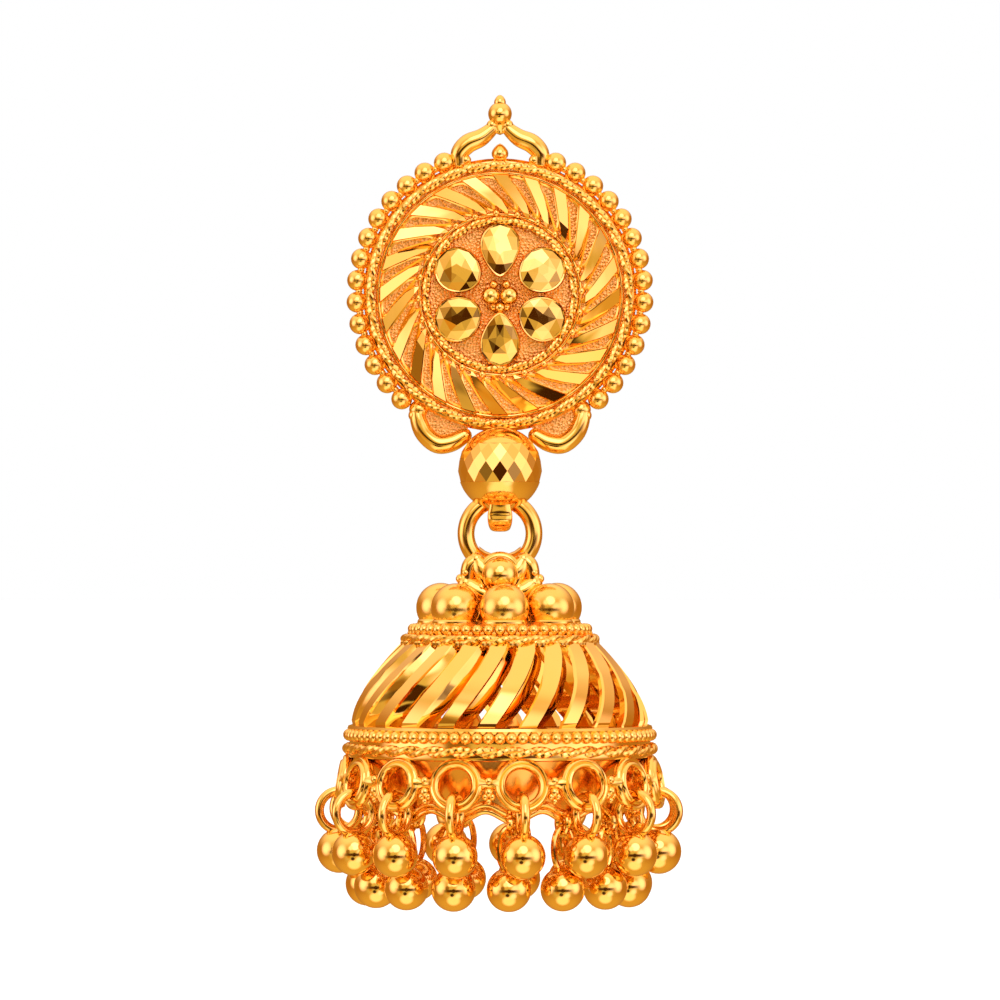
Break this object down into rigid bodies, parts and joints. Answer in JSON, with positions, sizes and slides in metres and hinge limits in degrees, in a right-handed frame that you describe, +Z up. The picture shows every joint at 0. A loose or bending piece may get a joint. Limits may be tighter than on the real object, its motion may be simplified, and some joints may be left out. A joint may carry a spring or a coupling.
{
  "type": "jhumka earring",
  "caption": "Gold jhumka ear stud with a mirror-cut disc, a hanging ring and a pierced bell-shaped dome with a fringe of ball drops, free to swing.",
  "frame": {"origin": "where the ear post leaves the flat back of the stud, at the centre of the disc", "axes": "+Z up, along the hanging earring; +Y out of the flat back, along the post; the front of the earring looks towards -Y"},
  "size_m": [0.0203, 0.0222, 0.0451],
  "materials": {
    "cut_gold": "yellow gold, mirror-cut faces over cast and twisted-wire detail",
    "polished_gold": "yellow gold, mirror polished",
    "wire_gold": "yellow gold, drawn and polished wire"
  },
  "bodies": {
    "stud_body": {"stud": "cut_gold", "ear_post": "wire_gold"},
    "ring_body": {"hanging_ring": "wire_gold"},
    "dome_body": {"dome": "cut_gold", "outer_drop_01": "polished_gold", "inner_drop_01": "polished_gold", "outer_drop_02": "polished_gold", "inner_drop_02": "polished_gold", "outer_drop_03": "polished_gold", "inner_drop_03": "polished_gold", "outer_drop_04": "polished_gold", "inner_drop_04": "polished_gold", "outer_drop_05": "polished_gold", "inner_drop_05": "polished_gold", "outer_drop_06": "polished_gold", "inner_drop_06": "polished_gold", "outer_drop_07": "polished_gold", "inner_drop_07": "polished_gold", "outer_drop_08": "polished_gold", "inner_drop_08": "polished_gold", "outer_drop_09": "polished_gold", "inner_drop_09": "polished_gold", "outer_drop_10": "polished_gold", "inner_drop_10": "polished_gold", "outer_drop_11": "polished_gold", "inner_drop_11": "polished_gold", "outer_drop_12": "polished_gold", "inner_drop_12": "polished_gold", "outer_drop_13": "polished_gold", "inner_drop_13": "polished_gold", "outer_drop_14": "polished_gold", "inner_drop_14": "polished_gold", "outer_drop_15": "polished_gold", "inner_drop_15": "polished_gold"}
  },
  "joints": [
    {"name": "ring_swing", "type": "hinge", "parent": "stud_body", "child": "ring_body", "pos_m": [0, -0.0016, -0.01139], "axis": [1, 0, 0], "range_deg": [-25, 25]},
    {"name": "dome_sway", "type": "hinge", "parent": "ring_body", "child": "dome_body", "pos_m": [0, -0.0016, -0.01328], "axis": [0, 1, 0], "range_deg": [-30, 30]}
  ]
}
